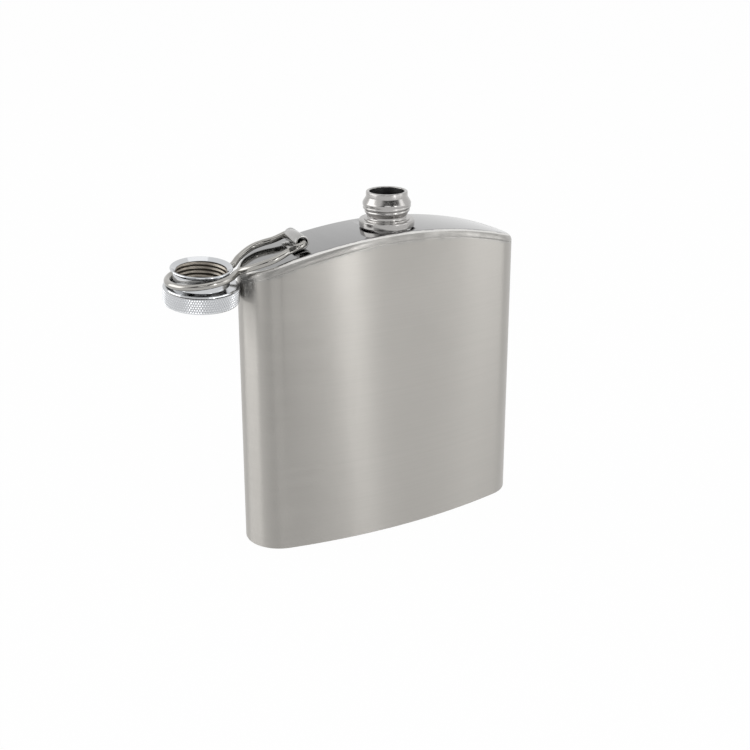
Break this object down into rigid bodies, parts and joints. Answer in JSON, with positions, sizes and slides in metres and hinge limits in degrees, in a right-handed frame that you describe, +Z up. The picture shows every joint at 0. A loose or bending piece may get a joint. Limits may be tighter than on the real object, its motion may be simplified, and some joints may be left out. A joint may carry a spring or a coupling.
{
  "type": "hip flask",
  "caption": "Slim bowed steel hip flask with a short threaded spout and a captive screw cap held by a hinged wire bail, cap off and hanging at one end",
  "frame": {"origin": "middle of the base's underside, on the surface the flask stands on", "axes": "+Z up through the spout, +X along the width away from the end where the cap hangs, -Y towards the side that bulges outwards"},
  "size_m": [0.1153, 0.0278, 0.1068],
  "materials": {
    "brushed_steel": "satin",
    "polished_steel": "polished",
    "turned_steel": "turned",
    "nickel_wire": "satin",
    "chrome": "polished",
    "seal_rubber": "matte"
  },
  "bodies": {
    "flask": {"body_wall": "brushed_steel", "top_plate": "polished_steel", "bottom_plate": "brushed_steel", "spout": "turned_steel", "hinge_bracket": "polished_steel"},
    "bail": {"bail_wire": "nickel_wire"},
    "cap": {"cap_body": "chrome", "cap_seal": "seal_rubber"}
  },
  "joints": [
    {"name": "bail_hinge", "type": "hinge", "parent": "flask", "child": "bail", "pos_m": [-0.02885, 0.00128, 0.09506], "axis": [0.0958, 0.9954, 0], "range_deg": [0, 180]},
    {"name": "cap_turn", "type": "hinge", "parent": "bail", "child": "cap", "pos_m": [-0.0577, 0.00406, 0.08702], "axis": [0.0176, -0.0893, 0.9959], "continuous": true}
  ]
}
